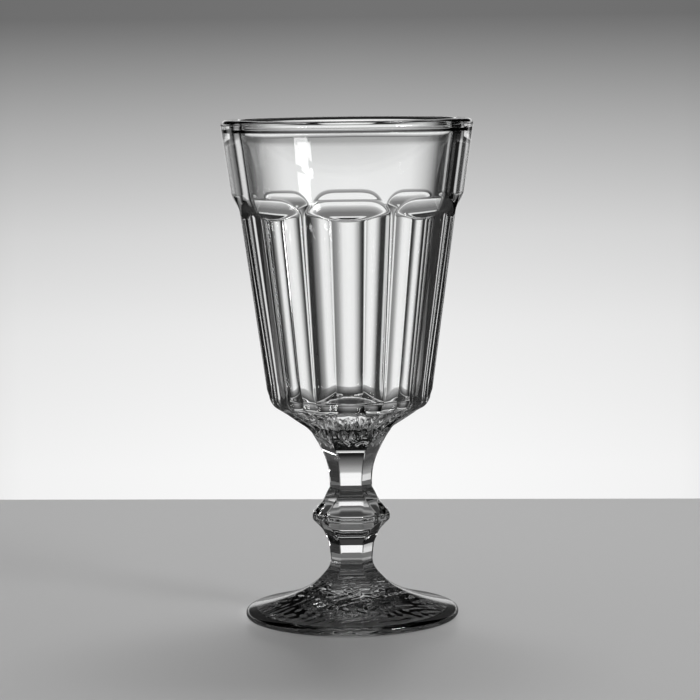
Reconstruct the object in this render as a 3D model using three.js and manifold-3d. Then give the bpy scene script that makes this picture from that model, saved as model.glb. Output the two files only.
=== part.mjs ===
// Footed absinthe glass in clear pressed glass: a panelled cup on a six-sided stem with a cut knop.
// Five bodies of glass are fused end to end, so they meet face to face on the glass's upright axis.
// Millimetres, +Z up, origin on the table under the middle of the foot, one panel facing -Y.

import * as THREE from 'three';
import { mergeVertices } from 'three/addons/utils/BufferGeometryUtils.js';
import Module from 'manifold-3d';

const wasm = await Module();
wasm.setup();

// Bowl: a plain cone outside and inside, measured from the joint with the stem
const bowlHeight = 105;
const rimDiameter = 80.8;
const rimWall = 6.2;
const lipRadius = 2.2;
const bowlCornerDiameter = 55.4;
const bowlCornerHeight = 16.1;
const bowlCornerFillet = 3;
const floorHeight = 13.5;
const floorWall = 5.2;
const floorFillet = 1.5;

// Panels pressed into the cone: each is hollow across and starts in an arched, sloping shoulder
const panelCount = 8;
const panelTopDepth = 2.85;
const panelFootDepth = 2.3;
const panelHollowRadius = 120;
const crownDrop = 24;
const shoulderAngle = THREE.MathUtils.degToRad(30);

// Neck: the six stem faces climb the underside of the bowl and end there in arches
const neckCorners = 19.6;
const neckLean = THREE.MathUtils.degToRad(26);
const neckFlareRise = 5.5;
const neckFlareRadius = 22;
const neckFaceRunOut = 27;

// Stem: six sides, sizes across the corners
const upperStemLength = 13;
const waistCorners = 13.8;
const waistFlareRadius = 22;
const lowerStemLength = 5.4;
const lowerStemCorners = 14.5;
const lowerWaistCorners = 13.5;
const lowerWaistRadius = 12;

// Knop: the six stem faces swell in a hollow sweep to a belt, and six more bevel the corners between
const knopLength = 18;
const knopFlats = 24.8;
const beltHeight = 1.9;
const beltFillet = 1.4;
const bevelStart = 0.3;
const knopBendHeight = 4;
const knopBendFlats = 16;
const bevelBendFlats = 17.5;
const knopBendRadius = 8;

// Foot: a round plate that sweeps up into the stem, with the six faces running out on it in tongues
const footHeight = 18.6;
const footDiameter = 68.5;
const footEdgeRadius = 1.5;
const footBendDiameter = 27.2;
const footBendHeight = 7.3;
const flareDiameter = 18.2;
const flareHeight = 14;
const footJointCorners = 14.5;
const footFaceStart = 18;
const footFaceRunOut = 42;
const kickDiameter = 60;
const kickRise = 3.5;

// The round bodies stand this far outside the corners of the six-sided cuts made in them
const cornerCover = 0.1;

// Faces used to draw round shapes
const bowlFacets = 80;
const footFacets = 72;
const stemSides = 6;
const arcSteps = 2;
const sweepSteps = 7;
const hollowSteps = 6;
const beltSteps = 1;

const sideHalfAngle = Math.PI / stemSides;
const tangentGap = 2;
const cutterReach = 20;

// Solid from a closed three.js geometry, with shared corners merged and collapsed triangles left out
function solidFrom(geometry) {
  geometry.deleteAttribute('normal');
  geometry.deleteAttribute('uv');
  const merged = mergeVertices(geometry, 1e-4);
  const index = merged.index.array;
  const triangles = [];
  for (let i = 0; i < index.length; i += 3) {
    const [a, b, c] = index.subarray(i, i + 3);
    if (a !== b && b !== c && c !== a) triangles.push(a, b, c);
  }
  const vertProperties = new Float32Array(merged.attributes.position.array);
  const triVerts = new Uint32Array(triangles);
  return new wasm.Manifold(new wasm.Mesh({ numProp: 3, vertProperties, triVerts }));
}

// Named mesh of clear glass from a solid, standing at a height on the glass's axis
function glassPiece(name, solid, height) {
  const { vertProperties, triVerts } = solid.getMesh();
  const geometry = new THREE.BufferGeometry();
  geometry.setAttribute('position', new THREE.BufferAttribute(vertProperties, 3));
  geometry.setIndex(new THREE.BufferAttribute(triVerts, 1));
  geometry.computeVertexNormals();
  const material = new THREE.MeshStandardMaterial({
    color: 0xeef2f1, roughness: 0.04, metalness: 0, transparent: true, opacity: 0.35,
  });
  const piece = new THREE.Mesh(geometry, material);
  piece.name = name;
  piece.position.z = height;
  return piece;
}

// Revolves an outline of radius and height about Z, starting at an angle from -Y
function revolve(outline, sides, start = 0) {
  return solidFrom(new THREE.LatheGeometry(outline, sides, start).rotateX(Math.PI / 2));
}

// Six-sided body with a face towards -Y, from an outline whose radii are measured to its corners
function sixSided(outline) {
  return revolve(outline, stemSides, sideHalfAngle);
}

// Six-sided body from an outline whose radii are measured to its flats, turned by an angle
function sixFlats(outline, turn = 0) {
  const corners = outline.map((p) => new THREE.Vector2(p.x / Math.cos(sideHalfAngle), p.y));
  return revolve(corners, stemSides, sideHalfAngle + turn);
}

// Draws a line from the path's end towards a corner and rounds it on the way to the next point
function roundCorner(path, corner, next, radius) {
  const from = path.currentPoint.clone();
  const back = from.clone().sub(corner).normalize();
  const ahead = next.clone().sub(corner).normalize();
  const half = Math.acos(back.dot(ahead)) / 2;
  const reach = Math.min(radius / Math.tan(half), from.distanceTo(corner), next.distanceTo(corner));
  const arc = reach * Math.tan(half);
  const entry = corner.clone().addScaledVector(back, reach);
  const exit = corner.clone().addScaledVector(ahead, reach);
  const middle = back.clone().add(ahead).normalize();
  const centre = corner.clone().addScaledVector(middle, arc / Math.sin(half));
  const clockwise = back.cross(ahead) > 0;
  path.lineTo(entry.x, entry.y);
  path.absarc(
    centre.x, centre.y, arc,
    entry.sub(centre).angle(), exit.sub(centre).angle(), clockwise,
  );
}

// Outline for cutting six faces into a round body: full width where the body is slim, then tongues
// that narrow to nothing at the run-out radius, and clear of the body beyond it
function faceOutline(body, start, runOut) {
  const startFlat = (start - cornerCover) * Math.cos(sideHalfAngle);
  const startHalfWidth = Math.sqrt(start ** 2 - startFlat ** 2);
  const flat = (radius) => {
    if (radius <= start) return (radius - cornerCover) * Math.cos(sideHalfAngle);
    if (radius >= runOut) return radius + tangentGap;
    const gone = (radius - start) / (runOut - start);
    return Math.sqrt(radius ** 2 - startHalfWidth ** 2 * (1 - gone ** 2));
  };
  return body.map((p) => new THREE.Vector2(flat(p.x), p.y));
}

// Heights of the joints above the table
const lowerStemBase = footHeight;
const knopBase = lowerStemBase + lowerStemLength;
const upperStemBase = knopBase + knopLength;
const bowlBase = upperStemBase + upperStemLength;

// Radii that two pieces share at their joint, measured to the corners of the six sides
const footJoint = footJointCorners / 2;
const lowerJoint = lowerStemCorners / 2;
const waistJoint = waistCorners / 2;
const neckJoint = neckCorners / 2;

// Outer radius of the bowl's cone at a height above the bowl's joint
function coneRadius(height) {
  const rise = (height - bowlCornerHeight) / (bowlHeight - bowlCornerHeight);
  return THREE.MathUtils.lerp(bowlCornerDiameter, rimDiameter, rise) / 2;
}

function buildBowl() {
  const joint = neckJoint + cornerCover;
  const flare = new THREE.Vector2(joint + neckFlareRise * Math.tan(neckLean), neckFlareRise);
  const corner = new THREE.Vector2(bowlCornerDiameter / 2, bowlCornerHeight);
  const rimOutside = new THREE.Vector2(rimDiameter / 2, bowlHeight);
  const rimInside = new THREE.Vector2(rimDiameter / 2 - rimWall, bowlHeight);
  const floorEdge = new THREE.Vector2(coneRadius(floorHeight) - floorWall, floorHeight);
  const floorMiddle = new THREE.Vector2(0, floorHeight);
  const neck = new THREE.Path();
  neck.moveTo(joint, 0);
  roundCorner(neck, flare, corner, neckFlareRadius);
  const underside = neck.getPoints(arcSteps);
  const cup = new THREE.Path();
  cup.moveTo(underside.at(-1).x, underside.at(-1).y);
  roundCorner(cup, corner, rimOutside, bowlCornerFillet);
  roundCorner(cup, rimOutside, rimInside, lipRadius);
  roundCorner(cup, rimInside, floorEdge, lipRadius);
  roundCorner(cup, floorEdge, floorMiddle, floorFillet);
  cup.lineTo(floorMiddle.x, floorMiddle.y);
  const axisBottom = new THREE.Vector2(0, 0);
  const body = revolve([axisBottom, ...underside, ...cup.getPoints(arcSteps)], bowlFacets);
  const openTop = bowlHeight + cutterReach;
  const faces = sixFlats([
    axisBottom,
    ...faceOutline(underside, joint, neckFaceRunOut / 2),
    new THREE.Vector2(rimDiameter, corner.y),
    new THREE.Vector2(rimDiameter, openTop),
    new THREE.Vector2(0, openTop),
  ]);
  let bowl = body.intersect(faces);
  for (let i = 0; i < panelCount; i += 1) {
    bowl = bowl.subtract(panelCutter((2 * Math.PI * i) / panelCount));
  }
  return glassPiece('bowl', bowl, bowlBase);
}

// Shape removed for one panel, turned from -Y about the axis: a bar with a bulging inner side that
// leans with the cone, stopped at the top by the shoulder's slope
function panelCutter(turn) {
  const crownHeight = bowlHeight - crownDrop;
  const topFlat = coneRadius(crownHeight) - panelTopDepth;
  const footFlat = coneRadius(bowlCornerHeight) - panelFootDepth;
  const lean = Math.atan2(topFlat - footFlat, crownHeight - bowlCornerHeight);
  const halfWidth = rimDiameter / 2;
  const spread = Math.asin(halfWidth / panelHollowRadius);
  const section = new THREE.Shape();
  section.absarc(0, -panelHollowRadius, panelHollowRadius, Math.PI / 2 - spread, Math.PI / 2 + spread);
  section.lineTo(-halfWidth, -rimDiameter);
  section.lineTo(halfWidth, -rimDiameter);
  const length = crownHeight - bowlCornerHeight + 2 * cutterReach;
  const bar = new THREE.ExtrudeGeometry(section, {
    depth: length, bevelEnabled: false, curveSegments: hollowSteps,
  });
  bar.translate(0, 0, -cutterReach).rotateX(lean);
  bar.translate(0, -footFlat, bowlCornerHeight).rotateZ(turn);
  const slope = new THREE.BoxGeometry(2 * rimDiameter, rimDiameter, 4 * bowlHeight);
  slope.translate(0, -rimDiameter / 2, 0).rotateX(shoulderAngle);
  slope.translate(0, -coneRadius(crownHeight), crownHeight).rotateZ(turn);
  return solidFrom(bar).intersect(solidFrom(slope));
}

function buildUpperStem() {
  const side = new THREE.Path();
  const neck = new THREE.Vector2(neckJoint, upperStemLength);
  const leanRise = (neckJoint - waistJoint) / Math.tan(neckLean);
  const bend = new THREE.Vector2(waistJoint, upperStemLength - leanRise);
  side.moveTo(0, 0);
  side.lineTo(waistJoint, 0);
  roundCorner(side, bend, neck, waistFlareRadius);
  side.lineTo(neck.x, neck.y);
  side.lineTo(0, upperStemLength);
  return glassPiece('upper_stem', sixSided(side.getPoints(arcSteps)), upperStemBase);
}

// Half outline of the knop, with radii to its flats, from the lower joint to the upper one
function knopOutline(lowerFlat, bendFlat, upperFlat) {
  const belt = knopFlats / 2;
  const lowerBend = new THREE.Vector2(bendFlat, knopBendHeight);
  const upperBend = new THREE.Vector2(bendFlat, knopLength - knopBendHeight);
  const beltBottom = new THREE.Vector2(belt, (knopLength - beltHeight) / 2);
  const beltTop = new THREE.Vector2(belt, (knopLength + beltHeight) / 2);
  const top = new THREE.Vector2(upperFlat, knopLength);
  const side = new THREE.Path();
  side.moveTo(0, 0);
  side.lineTo(lowerFlat, 0);
  roundCorner(side, lowerBend, beltBottom, knopBendRadius);
  roundCorner(side, beltBottom, beltTop, beltFillet);
  roundCorner(side, beltTop, upperBend, beltFillet);
  roundCorner(side, upperBend, top, knopBendRadius);
  side.lineTo(top.x, top.y);
  side.lineTo(0, knopLength);
  return side.getPoints(beltSteps);
}

function buildKnop() {
  const toFlat = Math.cos(sideHalfAngle);
  const faces = sixFlats(knopOutline(lowerJoint * toFlat, knopBendFlats / 2, waistJoint * toFlat));
  const bevels = sixFlats(
    knopOutline(lowerJoint + bevelStart, bevelBendFlats / 2, waistJoint + bevelStart), sideHalfAngle,
  );
  return glassPiece('knop', faces.intersect(bevels), knopBase);
}

function buildLowerStem() {
  const waist = new THREE.Vector2(lowerWaistCorners / 2, lowerStemLength / 2);
  const head = new THREE.Vector2(lowerJoint, lowerStemLength);
  const side = new THREE.Path();
  side.moveTo(0, 0);
  side.lineTo(footJoint, 0);
  roundCorner(side, waist, head, lowerWaistRadius);
  side.lineTo(head.x, head.y);
  side.lineTo(0, lowerStemLength);
  return glassPiece('lower_stem', sixSided(side.getPoints(arcSteps)), lowerStemBase);
}

function buildFoot() {
  const joint = footJoint + cornerCover;
  const edgeCentre = footDiameter / 2 - footEdgeRadius;
  const topLean = Math.atan2(footBendHeight - 2 * footEdgeRadius, edgeCentre - footBendDiameter / 2);
  const kickRadius = ((kickDiameter / 2) ** 2 + kickRise ** 2) / (2 * kickRise);
  const kickHalfAngle = Math.asin(kickDiameter / 2 / kickRadius);
  const base = new THREE.Path();
  base.absarc(0, kickRise - kickRadius, kickRadius, Math.PI / 2, Math.PI / 2 - kickHalfAngle, true);
  base.absarc(edgeCentre, footEdgeRadius, footEdgeRadius, -Math.PI / 2, Math.PI / 2 - topLean);
  const underside = base.getPoints(arcSteps);
  const sweep = new THREE.Path();
  sweep.moveTo(underside.at(-1).x, underside.at(-1).y);
  sweep.quadraticCurveTo(footBendDiameter / 2, footBendHeight, flareDiameter / 2, flareHeight);
  sweep.quadraticCurveTo(joint, (flareHeight + footHeight) / 2, joint, footHeight);
  const topSide = sweep.getPoints(sweepSteps);
  const axisTop = new THREE.Vector2(0, footHeight);
  const body = revolve([...underside, ...topSide, axisTop], footFacets);
  const faces = sixFlats([
    new THREE.Vector2(0, -cutterReach),
    new THREE.Vector2(footDiameter, -cutterReach),
    new THREE.Vector2(footDiameter, topSide[0].y),
    ...faceOutline(topSide.slice(1), footFaceStart / 2, footFaceRunOut / 2),
    axisTop,
  ]);
  return glassPiece('foot', body.intersect(faces), 0);
}

const absintheGlass = new THREE.Group();
absintheGlass.add(buildBowl(), buildUpperStem(), buildKnop(), buildLowerStem(), buildFoot());

export default absintheGlass;
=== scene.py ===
"""Looks of a footed absinthe glass: five bodies of clear pressed glass, fused end to end, in a studio."""

import logging
import math
from dataclasses import dataclass, field
from enum import Enum
from typing import TypeVar

import bpy
import numpy as np
from mathutils import Matrix, Vector


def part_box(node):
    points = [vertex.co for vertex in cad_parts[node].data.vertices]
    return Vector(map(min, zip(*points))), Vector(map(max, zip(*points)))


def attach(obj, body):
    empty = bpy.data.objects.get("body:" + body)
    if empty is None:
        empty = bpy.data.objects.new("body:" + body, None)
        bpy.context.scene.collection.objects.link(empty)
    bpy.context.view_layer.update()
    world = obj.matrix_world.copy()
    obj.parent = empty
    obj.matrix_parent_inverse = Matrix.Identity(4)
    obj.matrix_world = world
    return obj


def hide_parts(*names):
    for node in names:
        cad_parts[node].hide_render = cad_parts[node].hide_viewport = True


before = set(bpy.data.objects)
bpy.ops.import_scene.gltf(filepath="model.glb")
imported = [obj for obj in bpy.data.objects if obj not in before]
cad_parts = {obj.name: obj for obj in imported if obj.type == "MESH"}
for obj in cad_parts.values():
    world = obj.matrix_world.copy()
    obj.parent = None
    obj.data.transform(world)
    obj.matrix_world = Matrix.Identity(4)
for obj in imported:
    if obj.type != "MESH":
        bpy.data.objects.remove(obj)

LOG = logging.getLogger("absinthe_glass")
# The glass is given in millimetres, the studio in metres
MM = 0.001
BODY = "root"
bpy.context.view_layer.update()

STEM_SIDES = 6
FACE_COS = math.cos(math.pi / STEM_SIDES)
# How far the spun body stands over the corners of the faces that are pressed into it
CORNER_COVER = 0.1
# Rounding of the edges between faces
ARRIS = 0.3
# Points nearer to the axis than this aren't pressed by faces
AXIS_CLEAR = 1.0
# How far outside the body faces lie where they have run out
FACES_CLEAR = 10.0
# Least distance of a face from the axis
LEAST_FLAT = 0.1
SMOOTH_ANGLE = math.radians(50)
# Distances below these count as none
WELD = 1e-6
SEAM_LEVEL = 1e-6
SEED_SEGMENTS = 32
SEED_RINGS = 16
# Degrees round the axis and above the horizon that the studio's ramps span
TURN_SPAN = (-180.0, 180.0)
RISE_SPAN = (-30.0, 60.0)

Pair = tuple[float, float]
Ring = tuple[float, float]
Stop = tuple[float, float]
Place = tuple[float, float, float]
Colour = tuple[float, float, float]
Level = TypeVar("Level", float, np.ndarray)


class Seam(Enum):
    """Which ends of a body are fused to its neighbours."""

    BOTTOM = "bottom"
    TOP = "top"


class RayKind(Enum):
    """Kinds of ray that the studio's surroundings answer in their own way."""

    CAMERA = "Is Camera Ray"
    GLOSSY = "Is Glossy Ray"
    TRANSMISSION = "Is Transmission Ray"


def deselect_all() -> None:
    """Leaves edit mode and drops the selection, so that an operator acts on new work alone."""
    if bpy.context.mode != "OBJECT":
        bpy.ops.object.mode_set(mode="OBJECT")
    bpy.ops.object.select_all(action="DESELECT")


def smooth_min(a: np.ndarray, b: np.ndarray, blend: float) -> np.ndarray:
    """The smaller of two radii, with the edge where they cross rounded off.

    Args:
        a: First radii.
        b: Second radii.
        blend: Difference of the radii within which the edge is rounded.

    Returns:
        The blended radii, never above either input.
    """
    share = np.clip(0.5 + 0.5 * (b - a) / blend, 0.0, 1.0)
    return b + (a - b) * share - blend * share * (1.0 - share)


def smooth_max(a: np.ndarray, b: np.ndarray, blend: float) -> np.ndarray:
    """The larger of two radii, with the hollow where they cross rounded out."""
    return -smooth_min(-a, -b, blend)


def fold(angle: np.ndarray, count: int, turn: float = 0.0) -> tuple[np.ndarray, np.ndarray]:
    """Angles from the middles of the nearest and the next nearest of equal faces round the axis.

    Args:
        angle: Angles round the axis, from the front.
        count: Number of faces.
        turn: Angle of the first face's middle.

    Returns:
        The two angles, both from 0 upwards.
    """
    pitch = 2 * math.pi / count
    near = np.abs((angle - turn + pitch / 2) % pitch - pitch / 2)
    return near, pitch - near


def flat_faces(flat: np.ndarray, angle: np.ndarray, turn: float = 0.0, sides: int = STEM_SIDES) -> np.ndarray:
    """Radii of a section with equal flat sides and slightly rounded corners.

    Args:
        flat: Distance from the axis to the faces.
        angle: Angles round the axis, from the front.
        turn: Angle of the first face's middle.
        sides: Number of faces.

    Returns:
        The radii at these angles.
    """
    near, far = fold(angle, sides, turn)
    return smooth_min(flat / np.cos(near), flat / np.cos(far), ARRIS)


def rounded(corners: list[tuple[float, float, float]], spacing: float, arc_spacing: float) -> list[Ring]:
    """An outline through corners, each rounded by its own radius, as closely spaced rings.

    Args:
        corners: Radius, height and rounding of each corner; the ends have no rounding.
        spacing: Largest distance between rings on the straights.
        arc_spacing: Largest distance between rings on the roundings.

    Returns:
        The rings from the first corner to the last.
    """
    rings: list[Ring] = [corners[0][:2]]

    def run(target: Vector, step: float) -> None:
        """Adds evenly spaced rings up to a point."""
        start = Vector(rings[-1])
        count = max(1, math.ceil((target - start).length / step))
        for i in range(1, count + 1):
            rings.append(tuple(start.lerp(target, i / count)))

    for before, corner, after in zip(corners, corners[1:], corners[2:]):
        middle = Vector(corner[:2])
        back = (Vector(before[:2]) - middle).normalized()
        ahead = (Vector(after[:2]) - middle).normalized()
        half = back.angle(ahead) / 2
        radius = corner[2]
        if radius == 0:
            run(middle, spacing)
            continue
        reach = radius / math.tan(half)
        run(middle + back * reach, spacing)
        centre = middle + (back + ahead).normalized() * (radius / math.sin(half))
        first = middle + back * reach - centre
        sweep = first.angle_signed(middle + ahead * reach - centre)
        count = max(2, math.ceil(radius * abs(sweep) / arc_spacing))
        for i in range(1, count + 1):
            rings.append(tuple(centre + Matrix.Rotation(-sweep * i / count, 2) @ first))
    run(Vector(corners[-1][:2]), spacing)
    return rings


def spin_outline(name: str, rings: list[Ring], steps: int) -> bpy.types.Object:
    """Turns an outline into a closed body: one vertex, extruded along the outline and screwed round the axis.

    Args:
        name: Name of the new piece.
        rings: Radius and height of each ring in millimetres, from axis to axis.
        steps: Number of steps round the axis.

    Returns:
        The new mesh object, at the origin.
    """
    deselect_all()
    bpy.ops.mesh.primitive_plane_add(size=MM)
    body = bpy.context.object
    body.name = body.data.name = name
    bpy.ops.object.mode_set(mode="EDIT")
    bpy.ops.mesh.select_all(action="SELECT")
    bpy.ops.mesh.merge(type="CENTER")
    points = [Vector((0.0, -radius, height)) * MM for radius, height in rings]
    bpy.ops.transform.translate(value=points[0])
    for start, end in zip(points, points[1:]):
        bpy.ops.mesh.extrude_region_move(TRANSFORM_OT_translate={"value": end - start})
    bpy.ops.object.mode_set(mode="OBJECT")
    bpy.ops.object.modifier_add(type="SCREW")
    turn = body.modifiers[-1]
    turn.axis, turn.angle, turn.screw_offset = "Z", 2 * math.pi, 0.0
    turn.steps = turn.render_steps = steps
    bpy.ops.object.modifier_apply(modifier=turn.name)
    bpy.ops.object.mode_set(mode="EDIT")
    bpy.ops.mesh.select_all(action="SELECT")
    bpy.ops.mesh.remove_doubles(threshold=WELD)
    bpy.ops.mesh.normals_make_consistent(inside=False)
    bpy.ops.object.mode_set(mode="OBJECT")
    return body


def faces_on(radius: np.ndarray, start: float, run_out: float, angle: np.ndarray) -> np.ndarray:
    """Radii of six faces that run out in arches on a round, widening body.

    Args:
        radius: Spun radii.
        start: Radius up to which the faces are full.
        run_out: Radius at which the faces have run out.
        angle: Angles round the axis, from the front.

    Returns:
        The radii to which the faces press the body.
    """
    full = (radius - CORNER_COVER) * FACE_COS
    width = start**2 - ((start - CORNER_COVER) * FACE_COS) ** 2
    gone = np.clip((radius - start) / (run_out - start), 0, 1)
    fading = np.sqrt(np.maximum(radius**2 - width * (1 - gone**2), LEAST_FLAT**2))
    flat = np.where(radius <= start, full, fading)
    faces = flat_faces(flat, angle)
    return np.where(radius < run_out, faces, radius + FACES_CLEAR)


def curve(start: Ring, pull: Ring, end: Ring, steps: int) -> list[Ring]:
    """A curve from one ring to another that leaves and arrives towards a third.

    Args:
        start: First ring.
        pull: The ring towards which both ends aim.
        end: Last ring.
        steps: Number of steps.

    Returns:
        The rings of the curve, both ends with them.
    """
    a, b, c = Vector(start), Vector(pull), Vector(end)
    shares = np.linspace(0, 1, steps + 1)
    return [tuple(a * (1 - t) ** 2 + b * (2 * t * (1 - t)) + c * t**2) for t in shares]


@dataclass
class NodeSheet:
    """A node tree, and the few ways in which the finishes and the studio wire it."""

    tree: bpy.types.NodeTree

    def add(self, kind: str) -> bpy.types.Node:
        """A new node of that kind."""
        return self.tree.nodes.new(kind)

    def join(self, source: bpy.types.NodeSocket, target: bpy.types.NodeSocket) -> None:
        """Links an output to an input."""
        self.tree.links.new(source, target)

    def math(self, operation: str, *values: bpy.types.NodeSocket | float) -> bpy.types.NodeSocket:
        """A sum on numbers.

        Args:
            operation: Name of the operation.
            values: Outputs of other nodes, or plain numbers.

        Returns:
            The output that holds the result.
        """
        node = self.add("ShaderNodeMath")
        node.operation = operation
        for value, target in zip(values, node.inputs):
            if isinstance(value, (int, float)):
                target.default_value = value
            else:
                self.join(value, target)
        return node.outputs["Value"]

    def pick(
        self,
        share: bpy.types.NodeSocket,
        a: bpy.types.NodeSocket | float,
        b: bpy.types.NodeSocket | float,
    ) -> bpy.types.NodeSocket:
        """One of two numbers.

        Args:
            share: 0 for the first number, 1 for the second.
            a: First number.
            b: Second number.

        Returns:
            The output that holds the picked number.
        """
        node = self.add("ShaderNodeMix")
        self.join(share, node.inputs["Factor"])
        for value, target in ((a, node.inputs["A"]), (b, node.inputs["B"])):
            if isinstance(value, float):
                target.default_value = value
            else:
                self.join(value, target)
        return node.outputs["Result"]

    def ramp(
        self, value: bpy.types.NodeSocket, low: float, high: float, stops: tuple[Stop, ...]
    ) -> bpy.types.NodeSocket:
        """A grey that follows a number through a row of stops.

        Args:
            value: The number.
            low: Value at the ramp's start.
            high: Value at the ramp's end.
            stops: Value and tone of each stop.

        Returns:
            The output that holds the grey.
        """
        span = self.add("ShaderNodeMapRange")
        span.inputs["From Min"].default_value = low
        span.inputs["From Max"].default_value = high
        self.join(value, span.inputs["Value"])
        node = self.add("ShaderNodeValToRGB")
        elements = node.color_ramp.elements
        elements.remove(elements[1])
        for i, (at, tone) in enumerate(stops):
            place = (at - low) / (high - low)
            element = elements[0] if i == 0 else elements.new(place)
            element.position = place
            element.color = (tone, tone, tone, 1)
        self.join(span.outputs["Result"], node.inputs["Fac"])
        return node.outputs["Color"]


@dataclass(frozen=True)
class ClearGlass:
    """Colourless pressed glass, fire-polished, with the slow waviness that a press mould leaves."""

    name: str = "clear_pressed_glass"
    tint: Colour = (0.985, 0.99, 0.987)
    pale: Colour = (0.995, 0.997, 0.996)
    ior: float = 1.51
    cloud_scale: float = 35.0
    wave_scale: float = 160.0
    wave_detail: float = 1.0
    wave_depth: float = 0.000002
    haze: float = 0.004

    def material(self) -> bpy.types.Material:
        """The glass as a procedural material on Object coordinates.

        Returns:
            The new material.
        """
        glass = bpy.data.materials.new(self.name)
        glass.use_nodes = True
        nodes, links = glass.node_tree.nodes, glass.node_tree.links
        shader = nodes["Principled BSDF"]
        shader.inputs["Transmission Weight"].default_value = 1.0
        shader.inputs["IOR"].default_value = self.ior
        place = nodes.new("ShaderNodeTexCoord")

        cloud = nodes.new("ShaderNodeTexNoise")
        cloud.inputs["Scale"].default_value = self.cloud_scale
        links.new(place.outputs["Object"], cloud.inputs["Vector"])
        tones = nodes.new("ShaderNodeValToRGB")
        tones.color_ramp.elements[0].color = (*self.tint, 1)
        tones.color_ramp.elements[1].color = (*self.pale, 1)
        links.new(cloud.outputs["Fac"], tones.inputs["Fac"])
        links.new(tones.outputs["Color"], shader.inputs["Base Color"])
        haze = nodes.new("ShaderNodeMapRange")
        haze.inputs["To Max"].default_value = self.haze
        links.new(cloud.outputs["Fac"], haze.inputs["Value"])
        links.new(haze.outputs["Result"], shader.inputs["Roughness"])

        wave = nodes.new("ShaderNodeTexNoise")
        wave.inputs["Scale"].default_value = self.wave_scale
        wave.inputs["Detail"].default_value = self.wave_detail
        links.new(place.outputs["Object"], wave.inputs["Vector"])
        bump = nodes.new("ShaderNodeBump")
        bump.inputs["Distance"].default_value = self.wave_depth
        links.new(wave.outputs["Fac"], bump.inputs["Height"])
        links.new(bump.outputs["Normal"], shader.inputs["Normal"])
        return glass


@dataclass(frozen=True)
class FusedSeam:
    """The hidden faces across the stem where two bodies are fused: light goes straight through them."""

    name: str = "fused_seam"

    def material(self) -> bpy.types.Material:
        """The seam as a material that lets everything through unbent.

        Returns:
            The new material.
        """
        seam = bpy.data.materials.new(self.name)
        seam.use_nodes = True
        nodes, links = seam.node_tree.nodes, seam.node_tree.links
        nodes.remove(nodes["Principled BSDF"])
        clear = nodes.new("ShaderNodeBsdfTransparent")
        links.new(clear.outputs["BSDF"], nodes["Material Output"].inputs["Surface"])
        return seam


@dataclass
class GlassBody:
    """One body of glass: spun from its outline, then pressed by the faces of its mould."""

    name: str
    seams: tuple[Seam, ...]
    spin_steps: int
    casts_shadow: bool = True
    bottom: float = field(init=False)
    top: float = field(init=False)

    def __post_init__(self) -> None:
        """Takes the heights of the body's ends from its node in the frame."""
        low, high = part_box(self.name)
        self.bottom, self.top = low.z / MM, high.z / MM

    def outline(self) -> list[Ring]:
        """The rings that are spun, in millimetres."""
        raise NotImplementedError

    def pressed(self, radius: np.ndarray, height: np.ndarray, angle: np.ndarray) -> np.ndarray:
        """The radii after the mould's faces are pressed in.

        Args:
            radius: Spun radii in millimetres.
            height: Heights above the table in millimetres.
            angle: Angles round the axis, from the front.

        Returns:
            The pressed radii in millimetres.
        """
        raise NotImplementedError

    def rippled(self, x: np.ndarray, y: np.ndarray, height: np.ndarray) -> np.ndarray:
        """The heights after the mould's marks, which most bodies don't have."""
        return height

    def build(self) -> bpy.types.Object:
        """Makes the body's mesh and hands it to the frame.

        Returns:
            The body's mesh object.
        """
        body = spin_outline(self.name + "_glass", self.outline(), self.spin_steps)
        mesh = body.data
        place = np.empty(len(mesh.vertices) * 3)
        mesh.vertices.foreach_get("co", place)
        x, y, z = place.reshape(-1, 3).T / MM
        radius = np.hypot(x, y)
        pressed = self.pressed(radius, z, np.arctan2(x, -y))
        share = np.where(radius > WELD, pressed / np.maximum(radius, WELD), 1.0)
        level = self.rippled(x, y, z)
        mesh.vertices.foreach_set("co", (np.stack([x * share, y * share, level], axis=1) * MM).ravel())
        mesh.update()
        bpy.ops.object.shade_smooth_by_angle(angle=SMOOTH_ANGLE)
        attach(body, BODY)
        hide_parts(self.name)
        return body

    def dress(self, body: bpy.types.Object, glass: bpy.types.Material, seam: bpy.types.Material) -> None:
        """Gives the body its glass and marks the faces that are fused to its neighbours.

        Args:
            body: The body's mesh object.
            glass: Material of the glass.
            seam: Material of the fused faces.
        """
        body.data.materials.append(glass)
        body.data.materials.append(seam)
        body.visible_shadow = self.casts_shadow
        levels = {Seam.BOTTOM: self.bottom, Seam.TOP: self.top}
        fused = [levels[end] * MM for end in self.seams]
        for face in body.data.polygons:
            if any(abs(face.center.z - level) < SEAM_LEVEL for level in fused):
                face.material_index = 1


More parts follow.
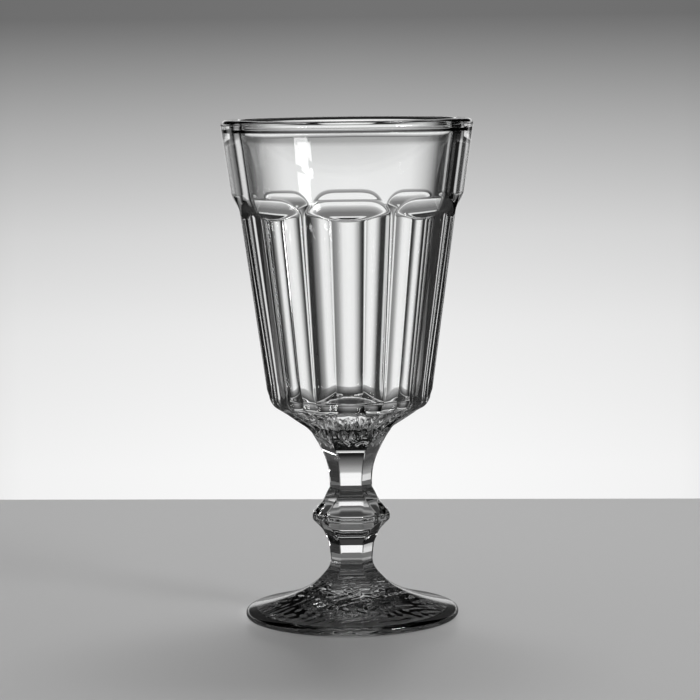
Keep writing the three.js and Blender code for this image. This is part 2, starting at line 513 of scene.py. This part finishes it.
@dataclass
class Bowl(GlassBody):
    """The conical cup: plain lip band, eight hollow arch-topped panels, faceted bottom and six-sided neck."""

    name: str = "bowl"
    seams: tuple[Seam, ...] = (Seam.BOTTOM,)
    spin_steps: int = 576
    rim_wall: float = 6.2
    rim_radius: float = 40.4
    lip: float = 1.9
    bead_inner: float = 33.4
    bead_height: float = 3.4
    bead_flank: float = 0.85
    bead_rounding: float = 1.0
    bead_fillet: float = 0.5
    corner_radius: float = 27.7
    corner_height: float = 16.1
    corner_rounding: float = 6.0
    floor_height: float = 13.5
    floor_wall: float = 5.2
    floor_rounding: float = 1.5
    panels: int = 8
    panel_top_depth: float = 3.2
    panel_foot_depth: float = 2.4
    panel_hollow: float = 120.0
    crown_drop: float = 24.0
    shoulder_slope: float = 0.42
    shoulder_curve: float = 0.0046
    arch_drop: float = 1.3
    arch_reach: float = math.radians(18)
    arch_fullness: float = 5.0
    panel_arris: float = 0.4
    crown_arris: float = 0.15
    hollow_blend: float = 0.35
    neck_radius: float = 9.9
    neck_flare: Ring = (11.9, 5.1)
    neck_rounding: float = 15.0
    heel: Ring = (27.62, 15.2)
    facet_depth: float = 0.087
    facet_end: float = 11.0
    facet_fade: float = 4.0
    facet_arris: float = 0.2
    heel_inset: float = 1.0
    heel_rise: float = 2.0
    flutes: int = 28
    flute_depth: float = 0.34
    flute_beat: float = 1.6
    flute_drift: float = 0.5
    flute_share: float = 0.6
    face_run_out: float = 12.0
    arch_zone: Pair = (10.0, 1.0)
    wall_spacing: Pair = (2.0, 0.6)
    arch_spacing: Pair = (0.34, 0.34)
    inner_spacing: Pair = (4.0, 0.35)

    def cone(self, height: Level) -> Level:
        """Radius of the plain outside cone at a height over the bowl's joint."""
        slope = (self.rim_radius - self.corner_radius) / (self.top - self.bottom - self.corner_height)
        return self.corner_radius + slope * (height - self.corner_height)

    def floor_edge(self) -> float:
        """Radius of the floor inside."""
        return self.cone(self.floor_height) - self.floor_wall

    def outline(self) -> list[Ring]:
        """From the joint out along the neck, up the cone, over the lip, down inside and across the floor.

        Returns:
            The rings, which lie closest together where the arches are pressed in.
        """
        deep = self.top - self.bottom
        inner_rim = self.rim_radius - self.rim_wall
        floor_edge = self.floor_edge()
        lean = (inner_rim - floor_edge) / (deep - self.floor_height)
        bead = deep - self.bead_height
        under, over = self.arch_zone
        low, high = deep - self.crown_drop - under, deep - self.crown_drop + over
        arch_foot, arch_head = (self.cone(low), low, 0), (self.cone(high), high, 0)
        outside = rounded(
            [
                (self.neck_radius, 0, 0),
                (*self.neck_flare, self.neck_rounding),
                (*self.heel, self.corner_rounding),
                arch_foot,
            ],
            *self.wall_spacing,
        )
        arches = rounded([arch_foot, arch_head], *self.arch_spacing)
        inside = rounded(
            [
                arch_head,
                (self.rim_radius, deep, self.lip),
                (self.bead_inner, deep, self.lip),
                (self.bead_inner, bead + self.bead_flank, self.bead_rounding),
                (inner_rim - self.bead_height * lean, bead, self.bead_fillet),
                (floor_edge, self.floor_height, self.floor_rounding),
                (0, self.floor_height, 0),
            ],
            *self.inner_spacing,
        )
        rings = [(0.0, 0.0), *outside, *arches[1:], *inside[1:]]
        return [(radius, height + self.bottom) for radius, height in rings]

    def panel(self, height: np.ndarray, off: np.ndarray) -> np.ndarray:
        """Radii of one panel's hollow and shoulder.

        Args:
            height: Heights over the bowl's joint.
            off: Angles from the panel's middle.

        Returns:
            The radii to which the panel presses the cone.
        """
        crown = self.top - self.bottom - self.crown_drop
        up = (height - self.corner_height) / (crown - self.corner_height)
        depth = self.panel_foot_depth + (self.panel_top_depth - self.panel_foot_depth) * up
        middle = self.cone(height) - depth
        aside = middle * np.tan(off)
        hollow = (middle + aside**2 / (2 * self.panel_hollow)) / np.cos(off)
        drop = self.arch_drop * (off / self.arch_reach) ** self.arch_fullness
        below = crown - drop - height
        shoulder = self.cone(crown) - self.shoulder_slope * below - self.shoulder_curve * below**3
        return smooth_max(hollow, shoulder, self.hollow_blend)

    def facets(self, radius: np.ndarray, angle: np.ndarray) -> np.ndarray:
        """Radii of the eight facets of the underside, with fine uneven flutes that fade out towards the heel.

        Args:
            radius: Spun radii.
            angle: Angles round the axis, from the front.

        Returns:
            The radii to which the facets press the underside.
        """
        cut = np.clip((radius - self.facet_end) / self.facet_fade, 0, 1)
        flat = flat_faces(radius * (1 - self.facet_depth * cut), angle, sides=self.panels)
        drift = self.flute_beat * self.flutes * np.abs(angle) + self.flute_drift * radius
        uneven = np.sin(self.flutes * angle) + self.flute_share * np.sin(drift)
        fading = cut * np.clip((self.heel[0] - self.facet_fade / 2 - radius) / self.facet_fade, 0, 1)
        return flat - self.flute_depth * fading * (1 + uneven)

    def pressed(self, radius: np.ndarray, height: np.ndarray, angle: np.ndarray) -> np.ndarray:
        """Presses the panels into the cone, the facets into the underside and the six faces into the neck.

        Args:
            radius: Spun radii in millimetres.
            height: Heights above the table in millimetres.
            angle: Angles round the axis, from the front.

        Returns:
            The pressed radii in millimetres.
        """
        over = height - self.bottom
        near, far = fold(angle, self.panels)
        panels = smooth_min(self.panel(over, near), self.panel(over, far), self.panel_arris)
        shaped = smooth_min(radius, panels, self.crown_arris)
        off_axis = radius > AXIS_CLEAR
        heel = (over < self.corner_height + self.heel_rise) & (radius > self.floor_edge() + self.heel_inset)
        under = (over < self.floor_height - WELD) | heel
        faceted = smooth_min(shaped, self.facets(radius, angle), self.facet_arris)
        shaped = np.where(under & off_axis, faceted, shaped)
        faced = smooth_min(shaped, faces_on(radius, self.neck_radius, self.face_run_out, angle), ARRIS)
        return np.where((over < self.corner_height / 2) & off_axis, faced, shaped)


@dataclass
class Stem(GlassBody):
    """A six-sided length of the stem between two seams."""

    seams: tuple[Seam, ...] = (Seam.BOTTOM, Seam.TOP)
    spin_steps: int = 360
    foot_corners: float = 0.0
    head_corners: float = 0.0
    bend: Ring | None = None
    bend_rounding: float = 22.0
    spacing: float = 0.7
    seeds: tuple[tuple[Place, float], ...] = ()

    def build(self) -> bpy.types.Object:
        """Makes the length, with its seed bubbles as closed hollows in the glass.

        Returns:
            The length's mesh object.
        """
        body = super().build()
        for place, size in self.seeds:
            deselect_all()
            bpy.ops.mesh.primitive_uv_sphere_add(
                segments=SEED_SEGMENTS, ring_count=SEED_RINGS, radius=size * MM
            )
            bubble = bpy.context.object
            bubble.data.transform(Matrix.Translation(Vector(place) * MM))
            bpy.ops.object.mode_set(mode="EDIT")
            bpy.ops.mesh.flip_normals()
            bpy.ops.object.mode_set(mode="OBJECT")
            bpy.ops.object.shade_smooth()
            body.select_set(True)
            bpy.context.view_layer.objects.active = body
            bpy.ops.object.join()
        return body

    def outline(self) -> list[Ring]:
        """From the lower seam up the corners to the upper seam.

        Returns:
            The rings, in millimetres.
        """
        tall = self.top - self.bottom
        side = [(self.foot_corners, 0, 0), (self.head_corners, tall, 0)]
        if self.bend is not None:
            side.insert(1, (*self.bend, self.bend_rounding))
        rings = [(r + CORNER_COVER, z) for r, z in rounded(side, self.spacing, self.spacing)]
        return [(r, z + self.bottom) for r, z in [(0.0, 0.0), *rings, (0.0, tall)]]

    def pressed(self, radius: np.ndarray, height: np.ndarray, angle: np.ndarray) -> np.ndarray:
        """Presses the six faces into the length."""
        faces = flat_faces((radius - CORNER_COVER) * FACE_COS, angle)
        return np.where(radius > AXIS_CLEAR, smooth_min(radius, faces, ARRIS), radius)


@dataclass
class UpperStem(Stem):
    """The waisted length under the bowl, with a few seed bubbles at its left."""

    name: str = "upper_stem"
    foot_corners: float = 6.9
    head_corners: float = 9.8
    bend: Ring = (6.85, 7.0)
    seeds: tuple[tuple[Place, float], ...] = (
        ((-3.9, -4.2, 52.3), 0.6),
        ((-3.9, -4.2, 53.2), 0.16),
        ((-3.9, -4.3, 53.7), 0.14),
        ((-4.0, -4.5, 54.3), 0.25),
    )


@dataclass
class LowerStem(Stem):
    """The short length between the knop and the foot."""

    name: str = "lower_stem"
    foot_corners: float = 6.8
    head_corners: float = 7.37
    bend: Ring = (6.99, 2.7)
    bend_rounding: float = 60.0


@dataclass
class Knop(GlassBody):
    """The swelling of the stem: six main faces and six more on the corners, with a narrow upright belt."""

    name: str = "knop"
    seams: tuple[Seam, ...] = (Seam.BOTTOM, Seam.TOP)
    spin_steps: int = 360
    belt_flat: float = 12.4
    belt_height: float = 1.9
    belt_rounding: float = 1.4
    foot_corners: float = 7.37
    head_corners: float = 6.9
    bevel_start: float = 0.3
    bend_height: float = 4.0
    bend_rounding: float = 8.0
    main_bend: float = 8.0
    bevel_bend: float = 8.77
    spacing: Pair = (0.4, 0.25)

    def side(self, foot: float, bend: float, head: float) -> list[Ring]:
        """The distance from the axis to a set of faces, from the lower seam to the upper one.

        Args:
            foot: Distance at the lower seam.
            bend: Distance where the hollow faces turn out towards the belt.
            head: Distance at the upper seam.

        Returns:
            The outline of the faces.
        """
        tall = self.top - self.bottom
        low, high = (tall - self.belt_height) / 2, (tall + self.belt_height) / 2
        belt = self.belt_flat
        return rounded(
            [
                (foot, 0, 0),
                (bend, self.bend_height, self.bend_rounding),
                (belt, low, self.belt_rounding),
                (belt, high, self.belt_rounding),
                (bend, tall - self.bend_height, self.bend_rounding),
                (head, tall, 0),
            ],
            *self.spacing,
        )

    def main_side(self) -> list[Ring]:
        """The outline of the six main faces."""
        return self.side(self.foot_corners * FACE_COS, self.main_bend, self.head_corners * FACE_COS)

    def outline(self) -> list[Ring]:
        """From the lower seam out over the belt and in to the upper seam."""
        rings = [(flat / FACE_COS + CORNER_COVER, z) for flat, z in self.main_side()]
        return [(r, z + self.bottom) for r, z in [(0.0, 0.0), *rings, (0.0, self.top - self.bottom)]]

    def pressed(self, radius: np.ndarray, height: np.ndarray, angle: np.ndarray) -> np.ndarray:
        """Presses the main faces and the faces on the corners between them.

        Args:
            radius: Spun radii in millimetres.
            height: Heights above the table in millimetres.
            angle: Angles round the axis, from the front.

        Returns:
            The pressed radii in millimetres.
        """
        over = height - self.bottom
        flats, levels = zip(*self.main_side())
        main = flat_faces(np.interp(over, levels, flats), angle)
        start = self.bevel_start
        side = self.side(self.foot_corners + start, self.bevel_bend, self.head_corners + start)
        flats, levels = zip(*side)
        bevel = flat_faces(np.interp(over, levels, flats), angle, math.pi / STEM_SIDES)
        faces = smooth_min(main, bevel, ARRIS)
        return np.where(radius > AXIS_CLEAR, smooth_min(radius, faces, ARRIS), radius)


@dataclass
class Foot(GlassBody):
    """The round plate with a hollow underside, sweeping up into the stem, six faces running out on it."""

    name: str = "foot"
    seams: tuple[Seam, ...] = (Seam.TOP,)
    spin_steps: int = 480
    casts_shadow: bool = False
    radius: float = 34.25
    edge: float = 1.5
    kick_radius: float = 30.0
    kick_rise: float = 3.5
    bend: Ring = (13.6, 7.3)
    flare: Ring = (9.1, 14.0)
    joint_radius: float = 6.9
    face_start: float = 9.0
    face_run_out: float = 21.0
    hollow_skin: float = 0.1
    ripple_height: float = 0.1
    ripple_length: float = 5.6
    ripple_sway: float = 1.7
    sway_rate: float = 0.37
    sway_start: float = 0.6
    cross_rate: float = 0.83
    cross_sway: float = 1.3
    cross_sway_rate: float = 0.45
    slant_share: float = 0.6
    slant_rate: float = 1.7
    slant: Pair = (0.6, 0.8)
    kick_rings: int = 61
    rest_rings: int = 4
    edge_rings: int = 12
    sweep_steps: int = 36
    neck_steps: int = 14

    def dome(self, radius: np.ndarray) -> np.ndarray:
        """Heights of the hollow underside."""
        arc = (self.kick_radius**2 + self.kick_rise**2) / (2 * self.kick_rise)
        return self.kick_rise - arc + np.sqrt(np.maximum(arc**2 - radius**2, 0))

    def outline(self) -> list[Ring]:
        """From the middle of the hollow out to the rim of the plate, over it and up the sweep.

        Returns:
            The rings, in millimetres.
        """
        hollow = np.linspace(0, self.kick_radius, self.kick_rings)
        under = list(zip(hollow, self.dome(hollow)))
        middle = Vector((self.radius - self.edge, self.edge))
        lean = math.atan2(self.bend[1] - 2 * self.edge, middle.x - self.bend[0])
        under += [(r, 0.0) for r in np.linspace(self.kick_radius, middle.x, self.rest_rings)[1:]]
        edge = [
            (middle.x + self.edge * math.sin(t), middle.y - self.edge * math.cos(t))
            for t in np.linspace(0, math.pi - lean, self.edge_rings)[1:]
        ]
        sweep = curve(edge[-1], self.bend, self.flare, self.sweep_steps)
        joint, pull = (self.joint_radius, self.top), (self.joint_radius, (self.flare[1] + self.top) / 2)
        neck = curve(self.flare, pull, joint, self.neck_steps)
        return [*under, *edge, *sweep[1:], *neck[1:], (0.0, self.top)]

    def pressed(self, radius: np.ndarray, height: np.ndarray, angle: np.ndarray) -> np.ndarray:
        """Presses the six faces into the sweep."""
        faces = smooth_min(radius, faces_on(radius, self.face_start, self.face_run_out, angle), ARRIS)
        return np.where((height > self.kick_rise + self.edge) & (radius > AXIS_CLEAR), faces, radius)

    def rippled(self, x: np.ndarray, y: np.ndarray, height: np.ndarray) -> np.ndarray:
        """Uneven ripples in the hollow of the underside, fading out towards the ring that it stands on.

        Args:
            x: Places to the right of the axis.
            y: Places behind the axis.
            height: Heights above the table.

        Returns:
            The heights with the ripples.
        """
        radius = np.hypot(x, y)
        on_dome = np.abs(height - self.dome(radius)) < self.hollow_skin
        under = on_dome & (radius < self.kick_radius)
        wave = 2 * math.pi / self.ripple_length
        sway = self.ripple_sway * np.sin(self.sway_rate * wave * y + self.sway_start)
        across = self.cross_rate * wave * y + self.cross_sway * np.sin(self.cross_sway_rate * wave * x)
        slanted = self.slant_rate * wave * (self.slant[0] * x - self.slant[1] * y)
        ripple = np.sin(wave * x + sway) * np.sin(across) + self.slant_share * np.sin(slanted + sway)
        fade = np.clip((self.kick_radius - radius) / self.ripple_length, 0, 1)
        return np.where(under, height + self.ripple_height * ripple * fade, height)


@dataclass(frozen=True)
class SoftLamp:
    """A soft rectangular lamp that is turned towards the glass."""

    name: str
    place: Place
    size: Pair
    power: float
    shows_in_glass: bool

    def build(self, aim_height: float) -> None:
        """Sets up the lamp.

        Args:
            aim_height: Height on the axis of the glass that the lamp is turned towards.
        """
        light = bpy.data.lights.new(self.name, "AREA")
        light.shape = "RECTANGLE"
        light.size, light.size_y = self.size
        light.energy = self.power
        lamp = bpy.data.objects.new(self.name, light)
        bpy.context.scene.collection.objects.link(lamp)
        lamp.location = self.place
        aim = Vector((0, 0, aim_height)) - Vector(self.place)
        lamp.rotation_euler = aim.to_track_quat("-Z", "Y").to_euler()
        lamp.visible_glossy = lamp.visible_transmission = self.shows_in_glass


@dataclass
class Studio:
    """Pale floor and backdrop, soft lamps, plain surroundings and the camera."""

    floor_reach: float = 2.5
    floor_back: float = 0.232
    floor_tone: float = 0.5
    floor_roughness: float = 0.35
    shade_middle: float = 0.02
    shade_reach: Pair = (0.05, 0.065)
    shade_span: Pair = (0.0, 2.0)
    # Painted shadow round the foot and painted shade in the far part of the floor, both only in what the
    # glass shows
    shade_tones: tuple[Stop, ...] = ((1.0, 0.055), (1.5, 0.46))
    far_shade_tones: tuple[Stop, ...] = ((0.1, 0.46), (0.15, 0.1))
    floor_turn: float = math.radians(-3.4)
    plain_light: float = 0.4
    round_tones: tuple[Stop, ...] = (
        (-155, 0.12), (-145, 0.01), (-108, 0.01), (-100, 0.12), (-80, 0.12), (-72, 0.01),
        (-50, 0.01), (-47, 0.8), (-40, 0.8), (-36, 0.01), (-27, 0.01), (-23, 0.15), (-15, 0.35),
        (-11, 0.65), (-7, 0.93), (0, 1.0), (7, 0.93), (11, 0.65), (15, 0.3), (17, 0.1), (19, 0.005),
        (27, 0.005), (29, 0.7), (33, 0.7), (35, 0.01), (72, 0.01), (80, 0.12), (100, 0.12),
        (108, 0.01), (145, 0.01), (155, 0.12),
    )
    # Painted light and shade above and below the horizon, which only the glass shows
    rise_tones: tuple[Stop, ...] = (
        (-17, 0.01), (-13, 0.7), (-11, 1.0), (-3, 1.0), (-1.9, 0.97), (-0.9, 0.62), (-0.2, 0.46), (0.4, 0.43),
        (2.4, 0.38), (4.3, 0.3), (6.3, 0.22), (8.5, 0.16), (10.5, 0.12), (15.3, 0.04), (17.5, 0.01),
    )
    backdrop_tones: tuple[Stop, ...] = ((-8.6, 0.96), (-5.6, 0.85), (-3.6, 0.7), (-1.4, 0.45), (0.9, 0.17))
    # Painted sheen behind the glass and a little above the horizon, which only mirror reflections show and
    # which lights nothing
    sheen_round: tuple[Stop, ...] = ((-75, 0.0), (-60, 1.0), (60, 1.0), (75, 0.0))
    sheen_rise: tuple[Stop, ...] = ((3, 0.0), (4, 0.9), (8, 0.9), (11, 0.0))
    card_back: float = 0.3
    card_half_width: float = 0.19
    # Painted light: glow of the card by height, bright and dark bands that only the glass shows
    card_tones: tuple[Stop, ...] = (
        (0.1605, 0.05), (0.1635, 1.0), (0.1713, 1.0), (0.1735, 0.7), (0.1766, 0.5), (0.1812, 0.38),
        (0.1881, 0.28), (0.1951, 0.2), (0.2143, 0.2), (0.2173, 0.9), (0.2245, 0.9), (0.2273, 0.01),
    )
    lamps: tuple[SoftLamp, ...] = (
        SoftLamp("overhead_softbox", (0.05, 0.3, 0.75), (0.35, 0.2), 3.0, shows_in_glass=False),
        SoftLamp("front_strip", (0.73, -0.576, 0.441), (0.26, 0.17), 3.2, shows_in_glass=True),
    )
    lamp_aim: float = 0.1
    camera_place: Place = (0.0002, -0.857, 0.178)
    camera_pitch: float = math.radians(6.114)
    camera_roll: float = math.radians(-0.65)
    lens: float = 138.5

    def build(self) -> None:
        """Sets up the stage, the light and the camera."""
        self.floor()
        self.card()
        self.surroundings()
        for lamp in self.lamps:
            lamp.build(self.lamp_aim)
        self.camera()
        bpy.context.scene.view_settings.view_transform = "Standard"

    def floor(self) -> None:
        """A plain table top that ends a little behind the glass.

        What the glass shows of it is painted darker: a painted shadow close round the foot and painted shade
        in its far part, while the camera sees it plain.
        """
        deselect_all()
        bpy.ops.mesh.primitive_plane_add(size=1)
        floor = bpy.context.object
        floor.name = "studio_floor"
        reach, back = self.floor_reach, self.floor_back
        spread = Matrix.Diagonal((2 * reach, reach, 1, 1))
        place = Matrix.Translation((0, back, 0)) @ Matrix.Rotation(self.floor_turn, 4, "Z")
        floor.data.transform(place @ Matrix.Translation((0, -reach / 2, 0)) @ spread)
        tone = bpy.data.materials.new("pale_floor")
        tone.use_nodes = True
        sheet = NodeSheet(tone.node_tree)
        path = sheet.add("ShaderNodeLightPath").outputs
        in_glass = sheet.math("MAXIMUM", path[RayKind.GLOSSY.value], path[RayKind.TRANSMISSION.value])
        spot = sheet.add("ShaderNodeMapping")
        wide, deep = self.shade_reach
        spot.inputs["Location"].default_value = (0, -self.shade_middle / deep, 0)
        spot.inputs["Scale"].default_value = (1 / wide, 1 / deep, 0)
        here = sheet.add("ShaderNodeTexCoord").outputs["Object"]
        sheet.join(here, spot.inputs["Vector"])
        off = sheet.add("ShaderNodeVectorMath")
        off.operation = "LENGTH"
        sheet.join(spot.outputs["Vector"], off.inputs[0])
        # Painted shadow: the floor that the glass shows is painted dark close round the foot
        near = sheet.ramp(off.outputs["Value"], *self.shade_span, self.shade_tones)
        axes = sheet.add("ShaderNodeSeparateXYZ")
        sheet.join(here, axes.inputs["Vector"])
        # Painted shade: the far part of the floor that the glass shows is painted darker
        behind = sheet.ramp(axes.outputs["Y"], 0.0, back, self.far_shade_tones)
        shade = sheet.math("MINIMUM", near, behind)
        shader = tone.node_tree.nodes["Principled BSDF"]
        # The camera sees the plain tone, the glass sees the painted shadow and shade
        sheet.join(sheet.pick(in_glass, self.floor_tone, shade), shader.inputs["Base Color"])
        shader.inputs["Roughness"].default_value = self.floor_roughness
        floor.data.materials.append(tone)

    def card(self) -> None:
        """A glowing card high behind the glass, which lights nothing and only the glass shows: painted light
        in the glass.
        """
        deselect_all()
        bpy.ops.mesh.primitive_plane_add(size=1)
        card = bpy.context.object
        card.name = "studio_card"
        low, high = self.card_tones[0][0], self.card_tones[-1][0]
        middle = Matrix.Translation((0, self.card_back, (low + high) / 2))
        spread = Matrix.Diagonal((2 * self.card_half_width, high - low, 1, 1))
        card.data.transform(middle @ Matrix.Rotation(math.pi / 2, 4, "X") @ spread)
        tone = bpy.data.materials.new("bright_card")
        tone.use_nodes = True
        sheet = NodeSheet(tone.node_tree)
        axes = sheet.add("ShaderNodeSeparateXYZ")
        sheet.join(sheet.add("ShaderNodeTexCoord").outputs["Object"], axes.inputs["Vector"])
        # Painted light: the card glows though it is no lamp, and only the glass shows it
        glow = sheet.add("ShaderNodeEmission")
        sheet.join(sheet.ramp(axes.outputs["Z"], low, high, self.card_tones), glow.inputs["Color"])
        sheet.join(glow.outputs["Emission"], tone.node_tree.nodes["Material Output"].inputs["Surface"])
        card.data.materials.append(tone)
        card.visible_camera = card.visible_diffuse = card.visible_glossy = card.visible_shadow = False

    def surroundings(self) -> None:
        """Plain light for the floor; painted bright panels with dark gaps between for what the glass shows,
        and a painted sheen that only mirror reflections show.
        """
        world = bpy.data.worlds.new("studio")
        bpy.context.scene.world = world
        world.use_nodes = True
        sheet = NodeSheet(world.node_tree)
        axes = sheet.add("ShaderNodeSeparateXYZ")
        sheet.join(sheet.add("ShaderNodeTexCoord").outputs["Generated"], axes.inputs["Vector"])
        turn = sheet.math("DEGREES", sheet.math("ARCTAN2", axes.outputs["X"], axes.outputs["Y"]))
        rise = sheet.math("DEGREES", sheet.math("ARCSINE", axes.outputs["Z"]))
        path = sheet.add("ShaderNodeLightPath").outputs
        round_tone = sheet.ramp(turn, *TURN_SPAN, self.round_tones)
        in_glass = sheet.ramp(rise, *RISE_SPAN, self.rise_tones)
        behind = sheet.ramp(rise, *RISE_SPAN, self.backdrop_tones)
        rise_tone = sheet.pick(path[RayKind.CAMERA.value], in_glass, behind)
        seen = sheet.math("MULTIPLY", round_tone, rise_tone)
        # Painted sheen, added where a ray is mirrored and not passed through the glass
        sheen = sheet.math(
            "MULTIPLY",
            sheet.ramp(turn, *TURN_SPAN, self.sheen_round),
            sheet.ramp(rise, *RISE_SPAN, self.sheen_rise),
        )
        mirrored = sheet.math("SUBTRACT", path[RayKind.GLOSSY.value], path[RayKind.TRANSMISSION.value])
        seen = sheet.math("MULTIPLY_ADD", sheen, sheet.math("MAXIMUM", mirrored, 0.0), seen)
        shown = sheet.math("MAXIMUM", path[RayKind.CAMERA.value], path[RayKind.GLOSSY.value])
        shown = sheet.math("MAXIMUM", shown, path[RayKind.TRANSMISSION.value])
        light = sheet.pick(shown, self.plain_light, seen)
        sheet.join(light, world.node_tree.nodes["Background"].inputs["Color"])

    def camera(self) -> None:
        """The camera, at the height and distance from which the glass is looked at."""
        lens = bpy.data.cameras.new("camera")
        lens.lens = self.lens
        camera = bpy.data.objects.new("camera", lens)
        bpy.context.scene.collection.objects.link(camera)
        tilt = Matrix.Rotation(math.pi / 2 - self.camera_pitch, 4, "X")
        roll = Matrix.Rotation(self.camera_roll, 4, "Z")
        camera.matrix_world = Matrix.Translation(self.camera_place) @ tilt @ roll
        bpy.context.scene.camera = camera


def main() -> None:
    """Builds and dresses the glass body by body, noting each body's face count, then the studio."""
    logging.basicConfig(level=logging.INFO, format="%(message)s")
    glass, seam = ClearGlass().material(), FusedSeam().material()
    bodies: list[GlassBody] = [Bowl(), UpperStem(), Knop(), LowerStem(), Foot()]
    for body in bodies:
        piece = body.build()
        body.dress(piece, glass, seam)
        LOG.info("%s: %d faces", piece.name, len(piece.data.polygons))
    Studio().build()
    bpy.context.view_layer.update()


if __name__ == "__main__":
    main()
